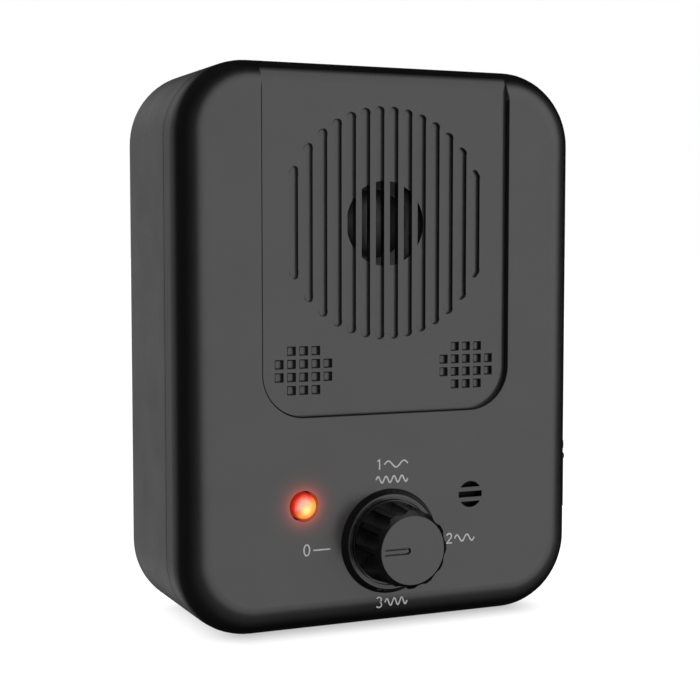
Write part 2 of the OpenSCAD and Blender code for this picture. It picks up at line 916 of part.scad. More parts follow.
module transformer_core() {
    w = 13;
    h = 5;
    window_w = (w - 3 * core_leg) / 2;
    color([0.2, 0.2, 0.22])
    difference() {
        slab(w, h, core_low_y, core_high_y, core_x, core_z);
        for (s = [-1, 1])
            slab(window_w, h + 1, core_low_y + core_leg, core_high_y - core_leg,
                core_x + s * (core_leg + window_w) / 2, core_z);
    }
}

module transformer_coil() {
    w = 7.2;
    h = 10;
    bore_h = 5.2;
    color([0.75, 0.55, 0.15])
    difference() {
        slab(w, h, coil_low_y, coil_high_y, core_x, core_z);
        slab(core_leg + 2 * core_gap, bore_h, coil_low_y - 1, coil_high_y + 1, core_x, core_z);
    }
}

// Feet of the coil, which carry the transformer on the board
module transformer_pins() {
    color([0.8, 0.8, 0.8])
    for (p = core_pin_places)
        rod_y(pin_r, board_y - pin_tail, coil_low_y, p[0], p[1]);
}

// ---------- speaker ----------

module speaker_housing() {
    seat_r = 17.2;
    seat_t = 0.5;
    bore_r = 16;
    color([0.12, 0.12, 0.13])
    turned(0, grille_z)
        difference() {
            union() {
                translate([0, speaker_y])
                    square([flange_r, flange_t]);
                translate([0, speaker_y])
                    square([housing_r, housing_depth]);
            }
            translate([-1, speaker_y - 1])
                square([bore_r + 1, housing_depth - housing_wall + 1]);
            translate([-1, speaker_y - 1])
                square([seat_r + 1, seat_t + 1]);
        }
}

// Thin shallow cone with a dome in its middle
module speaker_diaphragm() {
    t = 0.4;
    rim_r = 17.1;
    rim_in_r = 15.4;
    dome_r = 6.5;
    dip = 3.2;
    y0 = speaker_y + 0.1;
    dome_ball_r = 12;
    dome_rise = dome_ball_r - sqrt(dome_ball_r * dome_ball_r - dome_r * dome_r);
    color([0.42, 0.42, 0.44])
    turned(0, grille_z) {
        polygon([
            [rim_in_r, y0], [rim_r, y0], [rim_r, y0 + t], [rim_in_r, y0 + t],
            [dome_r, y0 + dip + t], [dome_r - 0.3, y0 + dip + t], [dome_r - 0.3, y0 + dip]
        ]);
        intersection() {
            difference() {
                translate([0, y0 + dip - dome_rise + dome_ball_r])
                    circle(dome_ball_r);
                translate([0, y0 + dip - dome_rise + dome_ball_r])
                    circle(dome_ball_r - t);
            }
            translate([0, y0 + dip - dome_rise - 1])
                square([dome_r - 0.15, dome_rise + 1 + t]);
        }
    }
}

module piezo_disc() {
    disc_r = 6.4;
    bore_r = 2;
    y0 = speaker_y + 3.7;
    y1 = y0 + 0.4;
    color([0.8, 0.65, 0.3])
    difference() {
        rod_y(disc_r, y0, y1, 0, grille_z);
        rod_y(bore_r, y0 - 1, y1 + 1, 0, grille_z);
    }
}

module speaker_gasket() {
    bore_r = 17;
    color([0.04, 0.04, 0.04])
    difference() {
        rod_y(flange_r, inner_front_y, speaker_y, 0, grille_z);
        rod_y(bore_r, inner_front_y - 1, speaker_y + 1, 0, grille_z);
    }
}

// Flat strips on the back of the housing, each with a tab bent up at its lower end
module speaker_terminals() {
    strip_h = 7;
    tab_t = 0.6;
    tab_len = 2.1;
    tab_y = speaker_back_y + terminal_t;
    color([0.8, 0.7, 0.4])
    for (x = [-terminal_x, terminal_x]) {
        slab(terminal_w, strip_h, speaker_back_y, tab_y, x, terminal_z + strip_h / 2);
        slab(terminal_w, tab_t, tab_y - eps, tab_y + tab_len, x, terminal_z + tab_t / 2);
    }
}

module speaker_screws() {
    color([0.7, 0.7, 0.72])
    for (a = post_angles)
        translate([post_circle_r * cos(a), 0, grille_z + post_circle_r * sin(a)])
            screw(board_screw_r, speaker_screw_head_r, board_screw_head_h, speaker_screw_len,
                speaker_y + flange_t);
}

// Leads from the speaker's terminals down to the back of the board
module speaker_lead(x) {
    tab_y = speaker_back_y + 1.6;
    low_z = speaker_lead_end_z;
    wire([
        [x, tab_y, terminal_z], [x, tab_y, terminal_z - 1], [x, tab_y + 0.2, terminal_z - 4.5],
        [x, tab_y + 0.4, low_z + 6.4], [x, -2.6, low_z + 2.2], [x, -4.4, low_z + 0.4],
        [x, -5.6, low_z], [x, board_back_y, low_z]
    ], speaker_lead_r);
}

module speaker_lead_red() {
    color([0.7, 0.08, 0.06])
    speaker_lead(-terminal_x);
}

module speaker_lead_black() {
    color([0.05, 0.05, 0.05])
    speaker_lead(terminal_x);
}

// ---------- lamp and microphone ----------

led_base_y = front_y + 7;
led_tip_y = front_y - 1.6;

module led_lens() {
    rim_w = 0.4;
    rim_t = 1;
    color([0.95, 0.25, 0.12])
    turned(-side_x, side_z)
        union() {
            translate([0, led_tip_y + led_r])
                square([led_r, led_base_y - led_tip_y - led_r]);
            translate([0, led_base_y - rim_t])
                square([led_r + rim_w, rim_t]);
            translate([0, led_tip_y + led_r])
                quarter_disc(led_r, 1, -1);
        }
}

module led_leads() {
    color([0.8, 0.8, 0.8])
    pins(led_pin_places, led_base_y);
}

module led_spacer() {
    spacer_r = 2.8;
    color([0.9, 0.9, 0.88])
    difference() {
        rod_y(spacer_r, led_base_y, board_y, -side_x, side_z);
        for (p = led_pin_places)
            rod_y(pin_r + pin_clear, led_base_y - 1, board_y + 1, p[0], p[1]);
    }
}

mic_r = 3;
mic_front_y = inner_front_y + 0.3;
mic_back_y = mic_front_y + 4;

module mic_capsule() {
    color([0.72, 0.72, 0.74])
    rod_y(mic_r, mic_front_y, mic_back_y, side_x, side_z);
}

module mic_felt() {
    felt_r = 2.9;
    felt_t = 0.25;
    color([0.03, 0.03, 0.03])
    rod_y(felt_r, mic_front_y - felt_t, mic_front_y, side_x, side_z);
}

module mic_boot() {
    boot_r = 4.2;
    bore_r = mic_r + 0.05;
    color([0.05, 0.05, 0.05])
    difference() {
        rod_y(boot_r, inner_front_y, mic_back_y, side_x, side_z);
        rod_y(bore_r, inner_front_y - 1, mic_back_y + 1, side_x, side_z);
    }
}

module mic_pins() {
    color([0.8, 0.8, 0.8])
    pins(mic_pin_places, mic_back_y);
}

// ---------- battery ----------

// Pouch with round long sides and a flat fold at its upper and lower end
module battery_pack() {
    fold_in = 1;
    middle_h = pack_h - 2 * pack_end_h;
    round_x = pack_w / 2 - pack_t / 2;
    color([0.3, 0.34, 0.4])
    translate([0, pack_y + pack_t / 2, pack_z]) {
        for (s = [-1, 1])
            translate([0, 0, s * (pack_h - pack_end_h) / 2])
                cube([pack_w - 2 * fold_in, pack_t - 2 * fold_in, pack_end_h], center = true);
        cube([2 * round_x, pack_t, middle_h], center = true);
        for (s = [-1, 1])
            translate([s * round_x, 0, -middle_h / 2])
                cylinder(r = pack_t / 2, h = middle_h);
    }
}

module battery_pad() {
    pad_w = pack_w - 14;
    pad_h = pack_h - 10;
    color([0.2, 0.2, 0.2])
    slab(pad_w, pad_h, inner_back_y - pad_t, inner_back_y, 0, pack_z);
}

socket_x = 1;
socket_z = 40;
socket_bore_w = 6.4;
socket_bore_y0 = board_back_y + 1;
socket_bore_y1 = socket_bore_y0 + 3.7;
plug_h = 6.4;
plug_z = socket_z + 1.9;

// Housing that is open at its top
module battery_socket() {
    w = 8;
    h = 6;
    t = 5.5;
    floor_t = 1.6;
    color([0.92, 0.9, 0.85])
    difference() {
        slab(w, h, board_back_y, board_back_y + t, socket_x, socket_z);
        slab(socket_bore_w, h, socket_bore_y0, socket_bore_y1, socket_x, socket_z + floor_t);
    }
}

module battery_plug() {
    gap = 0.1;
    color([0.95, 0.94, 0.9])
    slab(socket_bore_w - 2 * gap, plug_h, socket_bore_y0 + gap, socket_bore_y1 - gap, socket_x,
        plug_z);
}

// Leads from the plug, over in an arch to the upper end of the battery pack
module battery_lead(side) {
    x = socket_x + side * battery_lead_gap / 2;
    plug_y = (socket_bore_y0 + socket_bore_y1) / 2;
    plug_top = plug_z + plug_h / 2;
    pack_top = pack_z + pack_h / 2;
    pack_mid_y = pack_y + pack_t / 2;
    arch_z = 53;
    wire([
        [x, plug_y, plug_top], [x, plug_y, plug_top + 1], [x, plug_y + 0.3, arch_z - 4],
        [x, -0.5, arch_z - 1], [x, 3, arch_z], [x, 6.5, arch_z - 1],
        [x, pack_mid_y, arch_z - 3.5], [x, pack_mid_y, pack_top + 1], [x, pack_mid_y, pack_top]
    ], battery_lead_r);
}

module battery_lead_red() {
    color([0.7, 0.08, 0.06])
    battery_lead(-1);
}

module battery_lead_black() {
    color([0.05, 0.05, 0.05])
    battery_lead(1);
}

// ---------- charging port ----------

jack_x0 = 32.3;
jack_x1 = 37.6;

module usb_jack() {
    t = 0.3;
    w = 7.5;
    h = 2.9;
    color([0.7, 0.7, 0.72])
    translate([jack_x0, board_y - h, port_z - w / 2])
        difference() {
            cube([jack_x1 - jack_x0, h, w]);
            translate([t, t, t])
                cube([jack_x1, h - 2 * t, w - 2 * t]);
        }
}

module usb_insert() {
    tongue_len = 4;
    tongue_t = 0.6;
    tongue_h = 4.4;
    color([0.08, 0.08, 0.08])
    translate([jack_x0 + 0.3, board_y - 1.75, port_z - tongue_h / 2])
        cube([tongue_len, tongue_t, tongue_h]);
}

// Rubber flap with a plug on its inner side and a rounded hinge edge along its top
module port_cover() {
    plate_t = 1 + port_proud;
    edge_r = 0.7;
    barrel_r = 0.9;
    plate_top = flap_axis_z - 0.6;
    plug_w = 2.3;
    plug_t = 1.1;
    plug_low = port_z - 3.4;
    plug_high = port_z + 3.4;
    y0 = port_y - flap_w / 2;
    cut_h = plate_top - flap_low + 2;
    color([0.07, 0.07, 0.07]) {
        difference() {
            translate([pocket_floor_x, y0, flap_low])
                cube([plate_t, flap_w, plate_top - flap_low]);
            for (s = [0, 1])
                translate([pocket_floor_x + plate_t, port_y, 0])
                    mirror([0, s, 0])
                        translate([-edge_r, -flap_w / 2 + edge_r, flap_low - 1])
                            difference() {
                                translate([0, -edge_r - 1, 0])
                                    cube([edge_r + 1, edge_r + 1, cut_h]);
                                cylinder(r = edge_r, h = cut_h);
                            }
        }
        translate([flap_axis_x, y0, flap_axis_z])
            rotate([-90, 0, 0])
                cylinder(r = barrel_r, h = flap_w);
        translate([pocket_floor_x, y0, plate_top - eps])
            cube([barrel_r, flap_w, flap_axis_z - plate_top + eps]);
        translate([pocket_floor_x - plug_t, port_y - plug_w / 2, plug_low])
            cube([plug_t + eps, plug_w, plug_high - plug_low]);
    }
}

// Fixed end of the rubber strap, with a stem that is pushed through the wall
module port_anchor() {
    stem_r = 0.7;
    stem_in = 1;
    bulb_r = 1.15;
    bulb_in = 1.2;
    bulb_h = 1.05;
    plate_t = 0.7 + port_proud;
    mid_z = (anchor_low + anchor_high) / 2;
    inner_x = body_w / 2 - wall;
    color([0.07, 0.07, 0.07]) {
        translate([pocket_floor_x, port_y - flap_w / 2, anchor_low])
            cube([plate_t, flap_w, anchor_high - anchor_low]);
        translate([inner_x - stem_in, port_y, mid_z])
            rotate([0, 90, 0])
                cylinder(r = stem_r, h = pocket_floor_x - inner_x + stem_in + eps);
        translate([inner_x - bulb_in, port_y, mid_z])
            rotate([0, 90, 0])
                cylinder(r1 = stem_r, r2 = bulb_r, h = bulb_h);
    }
}

front_cover();
rear_cover();
cover_seal();
cover_screws();
knob();
switch_shaft();
switch_rotor();
switch_bushing();
switch_body();
switch_base();
switch_pins();
main_board();
board_screws();
control_chip();
amplifier_chip();
small_parts();
capacitors();
transistors();
transformer_core();
transformer_coil();
transformer_pins();
speaker_housing();
speaker_diaphragm();
piezo_disc();
speaker_gasket();
speaker_terminals();
speaker_screws();
speaker_lead_red();
speaker_lead_black();
led_lens();
led_leads();
led_spacer();
mic_capsule();
mic_felt();
mic_boot();
mic_pins();
battery_pack();
battery_pad();
battery_lead_red();
battery_lead_black();
battery_plug();
battery_socket();
usb_jack();
usb_insert();
port_cover();
port_anchor();
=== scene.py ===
import json
import math

import bmesh
import bpy
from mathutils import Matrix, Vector


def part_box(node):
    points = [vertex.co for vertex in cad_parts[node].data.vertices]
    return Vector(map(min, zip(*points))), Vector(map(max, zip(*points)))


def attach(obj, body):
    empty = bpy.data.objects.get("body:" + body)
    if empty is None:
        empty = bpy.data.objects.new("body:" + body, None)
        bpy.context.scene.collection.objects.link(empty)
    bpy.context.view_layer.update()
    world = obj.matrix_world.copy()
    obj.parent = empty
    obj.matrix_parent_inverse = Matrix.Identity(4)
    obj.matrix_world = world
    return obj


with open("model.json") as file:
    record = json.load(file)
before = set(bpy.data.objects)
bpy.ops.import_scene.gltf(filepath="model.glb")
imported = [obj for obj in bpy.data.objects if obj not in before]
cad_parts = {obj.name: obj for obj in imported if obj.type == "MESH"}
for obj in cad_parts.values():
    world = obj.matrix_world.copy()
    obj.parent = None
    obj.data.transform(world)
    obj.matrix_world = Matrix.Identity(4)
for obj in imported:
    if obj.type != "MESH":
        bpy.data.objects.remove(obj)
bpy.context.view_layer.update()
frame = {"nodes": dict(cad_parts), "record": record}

MM = 0.001
nodes = frame["nodes"]


# ---------- places taken from the frame ----------

rear_low, rear_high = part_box("rear_cover")
body_w = rear_high.x - rear_low.x
body_h = rear_high.z - rear_low.z
body_d = 2 * rear_high.y
front_y = -rear_high.y
knob_low, knob_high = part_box("knob")
dial_z = (knob_low.z + knob_high.z) / 2
led_low, led_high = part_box("led_lens")
led_x = (led_low.x + led_high.x) / 2
led_z = (led_low.z + led_high.z) / 2
seam_y = rear_low.y

# Sizes of the CAD model that the frame doesn't state: the radii of the body's corners, of its
# front edge and of the lamp, and how far the knob's collar stands in front of the front face
corner_r = 14 * MM
front_edge_r = 5.8 * MM
led_r = 2.5 * MM
collar_h = 1.3 * MM


# ---------- where shade is painted on the plastic, and where the lamp's glow is painted on it ---

# Depths behind the front face of the surfaces that are parallel to it: the front face itself,
# the panel, and the floors of slots and pockets
FLAT_DEPTHS = [0, 1.15 * MM, 1.95 * MM]
# Distances from such a surface between which a wall or bevel gets the full painted shade
WALL_FADE = (0.03 * MM, 0.12 * MM)
# Distances inside the outline between which the painted shade on the walls sets in
WALL_START = (front_edge_r - 0.4 * MM, front_edge_r)
# Distances inside the outline between which the front's rim, painted dark as shade, goes over into
# its flat face
RIM_FADE = (1.3 * MM, 4.2 * MM)
# Radii between which the collar's flat top gets painted shade, in a line next to its rim
COLLAR_LINE = (8.45 * MM, 8.6 * MM)
# Depths behind the knob's cap between which its flank gets painted shade
CAP_FADE = (0.02 * MM, 0.12 * MM)
# Painted shade on the rear cover: the strip next to the seam, and the back's rounded rim, given by
# its distance from the back and by its distance inside the outline. Neither gets the full painted
# shade
SEAM_STRIP = 1.5 * MM
BACK_RIM = (1.6 * MM, 0.7 * MM)
BACK_RIM_INSIDE = (0.8 * MM, 2.2 * MM)
REAR_SHADE_LEVEL = 0.8
# Distances from the back between which its coarse texture sets in
BACK_TEXTURE = (0.5 * MM, 0.1 * MM)
# Painted red glow of the lamp on the front cover: its strength at the radius where it starts, how
# fast it fades, and the depths in the lamp's hole between which it ends
GLOW_STRENGTH = 0.14
GLOW_START = 3.5 * MM
GLOW_REACH = 0.95 * MM
GLOW_DEPTH = (1.6 * MM, 4.0 * MM)

# Darkest and lightest plastic of the front cover and knob, and the colour of the painted shade
FRONT_DARK = (0.026, 0.026, 0.0265)
FRONT_LIGHT = (0.03, 0.03, 0.0305)
PAINTED_SHADE_COLOUR = (0.0012, 0.0012, 0.0012)


# ---------- camera ----------

CAMERA_PLACE = Vector((-118.2, -265.8, 70.7)) * MM
CAMERA_AIM = Vector((-0.65, 0, 50.44)) * MM
CAMERA_LENS = 77.3
SENSOR_W = 36

camera_data = bpy.data.cameras.new("camera")
camera_data.lens = CAMERA_LENS
camera_data.sensor_width = SENSOR_W
camera_data.clip_start = 0.01
camera_data.clip_end = 20
camera = bpy.data.objects.new("camera", camera_data)
camera.location = CAMERA_PLACE
camera.rotation_euler = (CAMERA_AIM - CAMERA_PLACE).to_track_quat("-Z", "Y").to_euler()
bpy.context.scene.collection.objects.link(camera)
bpy.context.scene.camera = camera


# ---------- node helpers ----------

class Shader:
    """A material with one Principled BSDF, and short calls for the nodes that feed it."""

    def __init__(self, name):
        self.material = bpy.data.materials.new(name)
        self.material.use_nodes = True
        self.tree = self.material.node_tree
        self.bsdf = next(n for n in self.tree.nodes if n.type == "BSDF_PRINCIPLED")
        coords = self.tree.nodes.new("ShaderNodeTexCoord")
        self.place = coords.outputs["Object"]

    def set(self, **values):
        """Gives the shader's own inputs a plain value. An underscore stands for a space."""
        for key, value in values.items():
            self.bsdf.inputs[key.replace("_", " ")].default_value = value

    def link(self, output, key):
        self.tree.links.new(output, self.bsdf.inputs[key])

    def source(self, key):
        """The output that feeds one of the shader's inputs."""
        return self.bsdf.inputs[key].links[0].from_socket

    def noise(self, size, detail=3.0, roughness=0.55, stretch=(1, 1, 1)):
        """Noise from 0 to 1 whose blobs are about size metres across."""
        place = self.place
        if tuple(stretch) != (1, 1, 1):
            mapping = self.tree.nodes.new("ShaderNodeMapping")
            mapping.inputs["Scale"].default_value = stretch
            self.tree.links.new(place, mapping.inputs["Vector"])
            place = mapping.outputs["Vector"]
        node = self.tree.nodes.new("ShaderNodeTexNoise")
        node.inputs["Scale"].default_value = 1 / size
        node.inputs["Detail"].default_value = detail
        node.inputs["Roughness"].default_value = roughness
        self.tree.links.new(place, node.inputs["Vector"])
        return node.outputs["Fac"]

    def remap(self, value, low, high, to_low, to_high):
        """Straight ramp from one range to another, held at both ends."""
        node = self.tree.nodes.new("ShaderNodeMapRange")
        node.inputs["From Min"].default_value = low
        node.inputs["From Max"].default_value = high
        node.inputs["To Min"].default_value = to_low
        node.inputs["To Max"].default_value = to_high
        self.tree.links.new(value, node.inputs["Value"])
        return node.outputs["Result"]

    def smooth(self, value, low, high, to_low, to_high):
        """The same as remap, with soft ends."""
        result = self.remap(value, low, high, to_low, to_high)
        result.node.interpolation_type = "SMOOTHSTEP"
        return result

    def axes(self):
        """X, Y and Z in the shared frame, which every piece's own coordinates are in."""
        split = self.tree.nodes.new("ShaderNodeSeparateXYZ")
        self.tree.links.new(self.place, split.inputs["Vector"])
        return split.outputs["X"], split.outputs["Y"], split.outputs["Z"]

    def length(self, a, b):
        """Length of the flat vector with the sides a and b."""
        return self.math("SQRT", self.math("ADD", self.math("MULTIPLY", a, a),
            self.math("MULTIPLY", b, b)))

    def from_axis(self, x, z):
        """Distance from the line along Y through x and z."""
        ax, _, az = self.axes()
        return self.length(self.math("SUBTRACT", ax, x), self.math("SUBTRACT", az, z))

    def inside_outline(self):
        """How far a point lies inside the body's outline, as seen from the front."""
        ax, _, az = self.axes()
        past_x = self.math("ADD", self.math("ABSOLUTE", ax), corner_r - body_w / 2)
        past_z = self.math("ADD", self.math("ABSOLUTE", self.math("SUBTRACT", az, body_h / 2)),
            corner_r - body_h / 2)
        corner = self.length(self.math("MAXIMUM", past_x, 0), self.math("MAXIMUM", past_z, 0))
        flat = self.math("MINIMUM", self.math("MAXIMUM", past_x, past_z), 0)
        return self.math("SUBTRACT", corner_r, self.math("ADD", corner, flat))

    def math(self, kind, a, b=0):
        """One Math node. Its inputs are outputs of other nodes, or plain numbers."""
        node = self.tree.nodes.new("ShaderNodeMath")
        node.operation = kind
        for socket, value in zip(node.inputs, (a, b)):
            if isinstance(value, (int, float)):
                socket.default_value = value
            else:
                self.tree.links.new(value, socket)
        return node.outputs["Value"]

    def mix(self, factor, a, b):
        """Colour a where the factor is 0 and b where it is 1."""
        node = self.tree.nodes.new("ShaderNodeMix")
        node.data_type = "RGBA"
        self.tree.links.new(factor, node.inputs["Factor"])
        for key, value in (("A", a), ("B", b)):
            socket = [s for s in node.inputs if s.name == key and s.type == "RGBA"][0]
            if isinstance(value, (tuple, list)):
                socket.default_value = (*value, 1)
            else:
                self.tree.links.new(value, socket)
        return [s for s in node.outputs if s.type == "RGBA"][0]

    def bump(self, heights):
        """Chains (height output, depth in metres) pairs into the shader's normal."""
        normal = None
        for height, depth in heights:
            node = self.tree.nodes.new("ShaderNodeBump")
            node.inputs["Distance"].default_value = depth
            self.tree.links.new(height, node.inputs["Height"])
            if normal is not None:
                self.tree.links.new(normal, node.inputs["Normal"])
            normal = node.outputs["Normal"]
        self.link(normal, "Normal")


def moulded(name, dark, light, rough, grain=0.25 * MM, depth=4e-6, sheen=0.04, shade=None,
        texture=None):
    """Moulded plastic: spark-eroded grain, faint cloudy tone, and patches rubbed smoother.

    Where shade(s) is 1, the plastic is darker with painted shade. With texture(s), which returns a
    height and its depth, the grain lies on that texture, and otherwise it has soft waves with it."""
    s = Shader(name)
    s.set(Specular_IOR_Level=0.5)
    cloud = s.noise(14 * MM, 4)
    fine = s.noise(grain, 2, 0.6)
    colour = s.mix(s.remap(cloud, 0.35, 0.65, 0, 1), dark, light)
    # Painted shade: where shade(s) is 1, the colour turns to the dark painted-shade colour
    if shade is not None:
        colour = s.mix(shade(s), colour, PAINTED_SHADE_COLOUR)
    s.link(colour, "Base Color")
    rubbed = s.noise(9 * MM, 5, 0.6)
    s.link(s.math("ADD", s.remap(rubbed, 0.35, 0.65, rough - sheen, rough + sheen),
        s.remap(fine, 0.3, 0.7, -0.02, 0.02)), "Roughness")
    if texture is None:
        s.bump([(fine, depth), (s.noise(1.6 * MM, 2), depth * 0.6)])
    else:
        s.bump([texture(s), (fine, depth)])
    return s


def plastic(*values, **named):
    """The same as moulded, but returns the material."""
    return moulded(*values, **named).material


def front_shade(s):
    """Painted shade on the front cover: its rounded rim, and the walls and bevels that join
    the surfaces that are parallel to the front."""
    inside = s.inside_outline()
    rim = s.smooth(inside, *RIM_FADE, 1, 0)
    _, y, _ = s.axes()
    depth = s.math("SUBTRACT", y, front_y)
    off_flat = 1
    for flat in FLAT_DEPTHS:
        away = s.math("ABSOLUTE", s.math("SUBTRACT", depth, flat))
        off_flat = s.math("MINIMUM", off_flat, s.smooth(away, *WALL_FADE, 0, 1))
    collar_line = s.math("MULTIPLY", s.smooth(s.from_axis(0, dial_z), *COLLAR_LINE, 0, 1),
        s.smooth(s.math("ABSOLUTE", s.math("ADD", depth, collar_h)), *WALL_FADE, 1, 0))
    off_flat = s.math("MINIMUM", off_flat, s.math("SUBTRACT", 1, collar_line))
    walls = s.math("MULTIPLY", off_flat, s.smooth(inside, *WALL_START, 0, 1))
    return s.math("MAXIMUM", rim, walls)


def rear_shade(s):
    """Painted shade on the rear cover: the strip next to the seam and the back's rounded rim."""
    _, y, _ = s.axes()
    seam = s.smooth(y, seam_y, seam_y + SEAM_STRIP, REAR_SHADE_LEVEL, 0)
    start, end = [rear_high.y - distance for distance in BACK_RIM]
    rim = s.math("MULTIPLY", s.smooth(y, start, end, 0, REAR_SHADE_LEVEL),
        s.smooth(s.inside_outline(), *BACK_RIM_INSIDE, 1, 0))
    return s.math("MAXIMUM", seam, rim)


def back_mask(s):
    """1 on the flat back face, and 0 in front of it."""
    _, y, _ = s.axes()
    start, end = [rear_high.y - distance for distance in BACK_TEXTURE]
    return s.smooth(y, start, end, 0, 1)


def back_texture(s):
    """Coarse texture of the back face, as a height and its depth."""
    return s.math("MULTIPLY", s.noise(0.55 * MM, 3, 0.65), back_mask(s)), 22e-6


def knob_shade(s):
    """Painted shade on the knob: everywhere but on its cap."""
    _, y, _ = s.axes()
    start, end = [knob_low.y + depth for depth in CAP_FADE]
    return s.smooth(y, start, end, 0, 1)


def front_material():
    """Front cover, with the lamp's red glow painted on as emission on the rim of its hole and
    fading over the face.
    """
    s = moulded("case_front", FRONT_DARK, FRONT_LIGHT, 0.22, sheen=0.02, shade=front_shade)
    _, y, _ = s.axes()
    # Painted light: the cover itself emits the lamp's red glow round the hole
    out = s.from_axis(led_x, led_z)
    fade = s.math("EXPONENT", s.math("DIVIDE", s.math("SUBTRACT", GLOW_START, out), GLOW_REACH))
    start, end = [front_y + depth for depth in GLOW_DEPTH]
    face = s.smooth(y, start, end, 1, 0)
    s.link(s.math("MULTIPLY", s.math("MULTIPLY", fade, GLOW_STRENGTH), face), "Emission Strength")
    s.set(Emission_Color=(1.0, 0.13, 0.07, 1))
    return s.material


def rear_material():
    """Rear cover. Its back face has a coarse matt texture, and a lighter colour painted on it that
    stands in for light on the back.
    """
    s = moulded("case_rear", (0.034, 0.034, 0.0345), (0.04, 0.04, 0.0405), 0.30,
        shade=rear_shade, texture=back_texture)
    back = back_mask(s)
    # Painted light: the back face is painted lighter
    s.link(s.mix(back, s.source("Base Color"), (0.075, 0.075, 0.076)), "Base Color")
    s.link(s.math("ADD", s.source("Roughness"), s.remap(back, 0, 1, 0, 0.22)), "Roughness")
    return s.material


def rubber(name, dark, light, rough=0.62):
    """Matt rubber or foam with dust in its pores."""
    s = Shader(name)
    s.set(Specular_IOR_Level=0.35)
    dust = s.noise(2.2 * MM, 6, 0.7)
    s.link(s.mix(s.remap(dust, 0.45, 0.8, 0, 1), dark, light), "Base Color")
    s.link(s.remap(s.noise(3 * MM, 4), 0.3, 0.7, rough - 0.06, rough + 0.08), "Roughness")
    s.bump([(s.noise(0.12 * MM, 2), 5e-6)])
    return s.material


def metal(name, dark, light, rough, brushed=(1, 1, 1)):
    """Metal with fine streaks, drawn out along the axes whose brushed value is small."""
    s = Shader(name)
    s.set(Metallic=1.0)
    streak = s.noise(0.2 * MM, 3, 0.6, brushed)
    s.link(s.mix(s.remap(streak, 0.3, 0.7, 0, 1), dark, light), "Base Color")
    s.link(s.remap(s.noise(1.1 * MM, 4), 0.3, 0.7, rough - 0.07, rough + 0.09), "Roughness")
    s.bump([(streak, 3e-6)])
    return s.material


def glossy(name, dark, light, rough=0.22):
    """Smooth lacquer, film or tape with faint waves."""
    s = Shader(name)
    tone = s.noise(3 * MM, 4)
    s.link(s.mix(s.remap(tone, 0.35, 0.65, 0, 1), dark, light), "Base Color")
    s.link(s.remap(s.noise(1.5 * MM, 5), 0.3, 0.7, rough - 0.05, rough + 0.07), "Roughness")
    s.bump([(s.noise(0.4 * MM, 3), 2e-6)])
    return s.material


MATERIALS = {
    "case_front": front_material(),
    "case_rear": rear_material(),
    "knob_plastic": plastic("knob_plastic", FRONT_DARK, FRONT_LIGHT, 0.22, grain=0.18 * MM,
        depth=2.5e-6, sheen=0.02, shade=knob_shade),
    "speaker_plastic": plastic("speaker_plastic", (0.03, 0.03, 0.032), (0.04, 0.04, 0.042), 0.5),
    "switch_plastic": plastic("switch_plastic", (0.03, 0.03, 0.03), (0.04, 0.04, 0.042), 0.45),
    "chip_black": plastic("chip_black", (0.015, 0.015, 0.015), (0.025, 0.025, 0.025), 0.55),
    "phenolic": plastic("phenolic", (0.16, 0.07, 0.025), (0.22, 0.1, 0.04), 0.45),
    "nylon_natural": plastic("nylon_natural", (0.72, 0.70, 0.62), (0.8, 0.78, 0.7), 0.42),
    "ceramic_brown": plastic("ceramic_brown", (0.2, 0.15, 0.1), (0.3, 0.24, 0.17), 0.4),
    "ferrite": plastic("ferrite", (0.03, 0.03, 0.035), (0.05, 0.05, 0.055), 0.5),
    "wire_red": plastic("wire_red", (0.5, 0.02, 0.015), (0.58, 0.03, 0.02), 0.35),
    "wire_black": plastic("wire_black", (0.015, 0.015, 0.015), (0.02, 0.02, 0.02), 0.35),
    "seal_rubber": rubber("seal_rubber", (0.012, 0.012, 0.012), (0.03, 0.03, 0.03)),
    "port_rubber": rubber("port_rubber", (0.013, 0.013, 0.0135), (0.026, 0.026, 0.026), 0.55),
    "foam_black": rubber("foam_black", (0.01, 0.01, 0.01), (0.025, 0.025, 0.025), 0.85),
    "screw_steel": metal("screw_steel", (0.45, 0.45, 0.47), (0.6, 0.6, 0.62), 0.3, (1, 0.2, 1)),
    "shaft_metal": metal("shaft_metal", (0.62, 0.62, 0.64), (0.72, 0.72, 0.74), 0.25, (1, 6, 1)),
    "zinc": metal("zinc", (0.55, 0.54, 0.5), (0.65, 0.64, 0.6), 0.35),
    "tinned_metal": metal("tinned_metal", (0.62, 0.61, 0.58), (0.74, 0.73, 0.7), 0.3),
    "piezo_brass": metal("piezo_brass", (0.62, 0.45, 0.16), (0.72, 0.54, 0.22), 0.3),
    "mic_can": metal("mic_can", (0.6, 0.6, 0.62), (0.7, 0.7, 0.72), 0.3),
    "jack_steel": metal("jack_steel", (0.5, 0.5, 0.52), (0.62, 0.62, 0.64), 0.28, (1, 1, 5)),
    "board_green": glossy("board_green", (0.015, 0.14, 0.05), (0.025, 0.19, 0.07), 0.3),
    "capacitor_sleeve": glossy("capacitor_sleeve", (0.02, 0.025, 0.09), (0.03, 0.035, 0.12)),
    "coil_tape": glossy("coil_tape", (0.6, 0.4, 0.04), (0.7, 0.5, 0.07), 0.3),
    "battery_wrap": glossy("battery_wrap", (0.09, 0.14, 0.24), (0.12, 0.18, 0.3), 0.3),
}


def diaphragm_material():
    """Pressed film, near black, with a faint uneven tone and fine waves."""
    s = Shader("diaphragm")
    s.set(Specular_IOR_Level=0.5)
    s.link(s.mix(s.noise(2 * MM, 4), (0.012, 0.012, 0.0125), (0.022, 0.022, 0.0225)), "Base Color")
    s.link(s.remap(s.noise(1.2 * MM, 4), 0.3, 0.7, 0.32, 0.5), "Roughness")
    s.bump([(s.noise(0.2 * MM, 2), 6e-6)])
    return s.material


